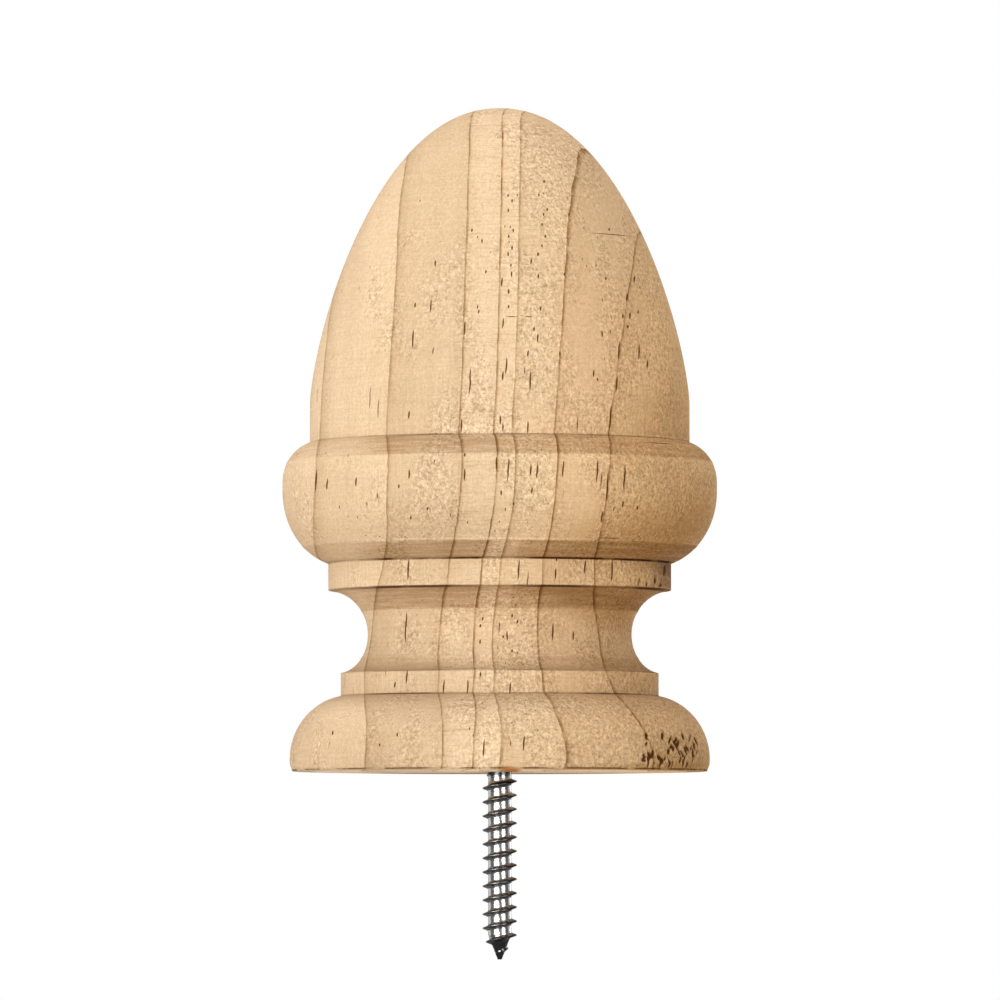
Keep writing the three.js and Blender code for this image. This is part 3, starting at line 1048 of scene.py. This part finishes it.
def thread_section(sizes):
    """Across one pitch, centred on the crest: place along the axis, share of ridge and share of hollow."""
    half_pitch = sizes.thread_pitch / 2
    foot_half = sizes.thread_foot_width / 2
    crest_half = sizes.thread_crest_width / 2
    flank = np.linspace(foot_half, crest_half, FLANK_POINTS)
    groove = np.linspace(half_pitch, foot_half, FLANK_POINTS)[:-1]
    side = np.concatenate([groove, flank])
    along = np.concatenate([-side, side[::-1][:-1]])
    rise = np.clip((foot_half - np.abs(along)) / (foot_half - crest_half), 0.0, 1.0) ** FLANK_HOLLOW
    dip = np.clip((np.abs(along) - foot_half) / (half_pitch - foot_half), 0.0, 1.0)
    return along, rise, np.sin(dip * math.pi / 2)


def screw_mesh(sizes):
    """The whole screw as one skin: the section of one pitch, carried along the helix from point to point."""
    along, rise, dip = thread_section(sizes)
    steps = sizes.turn_steps
    low, high = -sizes.reach, sizes.seated_length
    first = math.floor((low - sizes.thread_top_crest) / sizes.thread_pitch - 1) * steps
    last = math.ceil((high - sizes.thread_top_crest) / sizes.thread_pitch + 1) * steps
    turn = np.arange(first, last + 1) / steps
    crest = sizes.thread_top_crest + sizes.thread_pitch * turn
    z = np.clip(crest[:, None] + along[None, :], low, high)
    to_end = np.minimum(z - low, high - z)
    from_neck = np.abs(z - sizes.neck_middle) - sizes.neck_length / 2
    full = np.clip(to_end / sizes.point_length, 0.0, 1.0)
    core = sizes.tip_radius + (sizes.core_radius - sizes.tip_radius) * full
    ridge = np.clip((to_end - sizes.runout_from_tip) / sizes.runout_length, 0.0, 1.0)
    ridge *= np.clip(from_neck / sizes.neck_fade, 0.0, 1.0)
    radius = core + ridge * (sizes.thread_height * rise - sizes.core_hollow * dip)
    bearing = 2 * math.pi * turn[:, None]
    points = np.stack([radius * np.cos(bearing), radius * np.sin(bearing), z], axis=-1)
    width = len(along)
    index = np.arange(len(turn) * width).reshape(len(turn), width)
    beyond = np.concatenate([index[:-steps], index[steps:, :1]], axis=1)
    quads = np.stack([beyond[:-1, :-1], beyond[1:, :-1], beyond[1:, 1:], beyond[:-1, 1:]], axis=-1)
    mesh = bpy.data.meshes.new("zinc_screw")
    mesh.from_pydata(points.reshape(-1, 3).tolist(), [], quads.reshape(-1, 4).tolist())
    skin = bmesh.new()
    skin.from_mesh(mesh)
    bmesh.ops.remove_doubles(skin, verts=skin.verts, dist=WELD)
    bmesh.ops.dissolve_degenerate(skin, edges=skin.edges, dist=WELD)
    loose = [vertex for vertex in skin.verts if not vertex.link_faces]
    bmesh.ops.delete(skin, geom=loose, context="VERTS")
    open_edges = [edge for edge in skin.edges if edge.is_boundary]
    bmesh.ops.holes_fill(skin, edges=open_edges, sides=0)
    bmesh.ops.recalc_face_normals(skin, faces=skin.faces)
    skin.to_mesh(mesh)
    skin.free()
    return mesh


class FINIAL_OT_turned_wood(bpy.types.Operator):
    """Add the turned pine body: foot, fillets, cove, collar and acorn"""

    bl_idname = "finial.turned_wood"
    bl_label = "Turned wood"

    def execute(self, context):
        scene = context.scene
        sizes, marks, screw = scene.finial_sizes, scene.finial_marks, scene.finial_screw
        bore_radius = screw.core_radius + screw.thread_height + marks.bore_clearance
        bore_depth = screw.seated_length + marks.bore_clearance
        rows = wood_rows(sizes, marks, bore_radius, bore_depth)
        mesh = revolved("turned_pine", rows, wood_bearings(marks), marks.torn_depth)
        canals = canals_on_front(sizes, scene.finial_stage)
        piece = placed("turned_pine", mesh, pine_material(scene.finial_pine, canals))
        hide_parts("turned_finial")
        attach(piece, "root")
        return {"FINISHED"}


class FINIAL_OT_post_screw(bpy.types.Operator):
    """Add the double-ended wood screw, half of it in the wood"""

    bl_idname = "finial.post_screw"
    bl_label = "Post screw"

    def execute(self, context):
        scene = context.scene
        sizes = scene.finial_screw
        piece = placed("zinc_screw", screw_mesh(sizes), steel_material(scene.finial_steel, sizes))
        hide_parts("post_screw")
        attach(piece, "root")
        return {"FINISHED"}


def pointed_at(thing, target):
    """Turns a light or camera so that it looks at the target."""
    thing.rotation_euler = (Vector(target) - thing.location).to_track_quat("-Z", "Y").to_euler()


def area_light(name, power, size, bearing, rise, distance, target):
    """A soft rectangular light. Its bearing is counted from the front, to the right."""
    data = bpy.data.lights.new(name, "AREA")
    data.shape = "RECTANGLE"
    data.size, data.size_y = size
    data.energy = power
    lamp = bpy.data.objects.new(name, data)
    flat = distance * math.cos(rise)
    aside, ahead = flat * math.sin(bearing), -flat * math.cos(bearing)
    lamp.location = Vector(target) + Vector((aside, ahead, distance * math.sin(rise)))
    pointed_at(lamp, target)
    lamp.visible_camera = False
    bpy.context.collection.objects.link(lamp)
    return lamp


def white_world(settings):
    """White surroundings: full white behind the finial, and softer as light and in reflections."""
    world = bpy.data.worlds.new("white_surroundings")
    world.use_nodes = True
    web = Web(world.node_tree)
    white = (1.0, 1.0, 1.0, 1.0)
    path = web.node("ShaderNodeLightPath").socket.node
    lit = web.node("ShaderNodeBackground", {}, {"Color": white, "Strength": settings.ambient})
    mirrored = web.node("ShaderNodeBackground", {}, {"Color": white, "Strength": settings.reflected})
    seen = web.node("ShaderNodeBackground", {}, {"Color": white, "Strength": 1.0})
    glossy = Wire(web, path.outputs["Is Glossy Ray"])
    camera = Wire(web, path.outputs["Is Camera Ray"])
    mixed = web.node("ShaderNodeMixShader", {}, {0: glossy, 1: lit, 2: mirrored})
    mixed = web.node("ShaderNodeMixShader", {}, {0: camera, 1: mixed, 2: seen})
    web.node("ShaderNodeOutputWorld", {}, {"Surface": mixed})
    return world


def pale_floor(drop):
    """A wide, pale floor. The camera sees it full white, and it lights the finial as a matt floor does."""
    half = 30.0
    corners = [(-half, -half, -drop), (half, -half, -drop), (half, half, -drop), (-half, half, -drop)]
    mesh = bpy.data.meshes.new("pale_floor")
    mesh.from_pydata(corners, [], [(0, 1, 2, 3)])
    material, web = new_material("pale_floor")
    matt = web.node("ShaderNodeBsdfDiffuse", {}, {"Color": (0.9, 0.9, 0.9, 1.0)})
    seen = web.node("ShaderNodeEmission", {}, {"Color": (1.0, 1.0, 1.0, 1.0), "Strength": 1.0})
    camera = Wire(web, web.node("ShaderNodeLightPath").socket.node.outputs["Is Camera Ray"])
    surface = web.node("ShaderNodeMixShader", {}, {0: camera, 1: matt, 2: seen})
    web.node("ShaderNodeOutputMaterial", {}, {"Surface": surface})
    floor = placed("pale_floor", mesh, material)
    floor.visible_glossy = False
    floor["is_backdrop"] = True


LIGHT_DISTANCE = 1.2
SENSOR_WIDTH = 36.0

# Strip lights round the screw: bearing from the front to the right and width, in degrees, and power share.
STRIPS = ((-30.0, 30.0, 1.0), (38.0, 26.0, 0.9), (120.0, 50.0, 0.2), (-125.0, 50.0, 0.25))
STRIP_DISTANCE = 0.5
STRIP_HEIGHT = 0.3


def strip_lights(power, middle, screw):
    """Soft strips that shine on the screw alone and give its core upright highlights."""
    lit = bpy.data.collections.new("lit_by_strips")
    lit.objects.link(screw)
    for number, (bearing, width, power_share) in enumerate(STRIPS, start=1):
        size = (2 * STRIP_DISTANCE * math.tan(math.radians(width / 2)), STRIP_HEIGHT)
        name, strength = f"strip_light_{number}", power * power_share
        lamp = area_light(name, strength, size, math.radians(bearing), 0.0, STRIP_DISTANCE, middle)
        lamp.light_linking.receiver_collection = lit


class FINIAL_OT_stage(bpy.types.Operator):
    """Add the pale floor, the soft lights and the camera"""

    bl_idname = "finial.stage"
    bl_label = "Stage"

    def execute(self, context):
        scene = context.scene
        settings, sizes, screw = scene.finial_stage, scene.finial_sizes, scene.finial_screw
        pale_floor(settings.floor_drop)
        scene.world = white_world(settings)
        middle = (0.0, 0.0, sizes.tip_height / 2)
        lights = (
            ("key_light", settings.key_power, (1.0, 0.3), -settings.key_bearing, settings.key_rise),
            ("top_light", settings.top_power, (0.8, 0.8), 0.0, math.radians(89.0)),
            ("rim_light", settings.rim_power, (0.4, 0.5), math.radians(135.0), 0.0),
        )
        for name, power, size, bearing, rise in lights:
            area_light(name, power, size, bearing, rise, LIGHT_DISTANCE, middle)
        strip_lights(settings.strip_power, (0.0, 0.0, -screw.reach / 2), scene.objects["zinc_screw"])
        data = bpy.data.cameras.new("camera")
        data.lens = settings.lens
        data.sensor_width = SENSOR_WIDTH
        data.clip_start, data.clip_end = 0.01, 200.0
        camera = bpy.data.objects.new("camera", data)
        camera.location = (settings.camera_offset, -settings.camera_distance, settings.camera_height)
        pointed_at(camera, (settings.camera_offset, 0.0, settings.aim_height))
        scene.collection.objects.link(camera)
        scene.camera = camera
        scene.view_settings.view_transform = "Standard"
        return {"FINISHED"}


class FINIAL_PT_panel(bpy.types.Panel):
    """Lists the finial's operators"""

    bl_idname = "FINIAL_PT_panel"
    bl_label = "Acorn finial"
    bl_space_type = "VIEW_3D"
    bl_region_type = "UI"
    bl_category = "Finial"

    def draw(self, context):
        for operator in (FINIAL_OT_turned_wood, FINIAL_OT_post_screw, FINIAL_OT_stage):
            self.layout.operator(operator.bl_idname)


SETTINGS = {
    "finial_sizes": FinialSizes,
    "finial_marks": TurningMarks,
    "finial_screw": ScrewSizes,
    "finial_pine": PineLooks,
    "finial_steel": SteelLooks,
    "finial_stage": StageSettings,
}
CLASSES = (*SETTINGS.values(), FINIAL_OT_turned_wood, FINIAL_OT_post_screw, FINIAL_OT_stage, FINIAL_PT_panel)


def register():
    for each in CLASSES:
        bpy.utils.register_class(each)
    for name, group in SETTINGS.items():
        setattr(bpy.types.Scene, name, PointerProperty(type=group))


def unregister():
    for name in SETTINGS:
        delattr(bpy.types.Scene, name)
    for each in reversed(CLASSES):
        bpy.utils.unregister_class(each)


def main():
    """Adds every piece and the stage."""
    register()
    bpy.ops.finial.turned_wood()
    bpy.ops.finial.post_screw()
    bpy.ops.finial.stage()
    boxes = {"cad": cad_bounds, "visual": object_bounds()}
    {name: [list(corner) for corner in box] for name, box in boxes.items()}


if __name__ == "__main__":
    main()
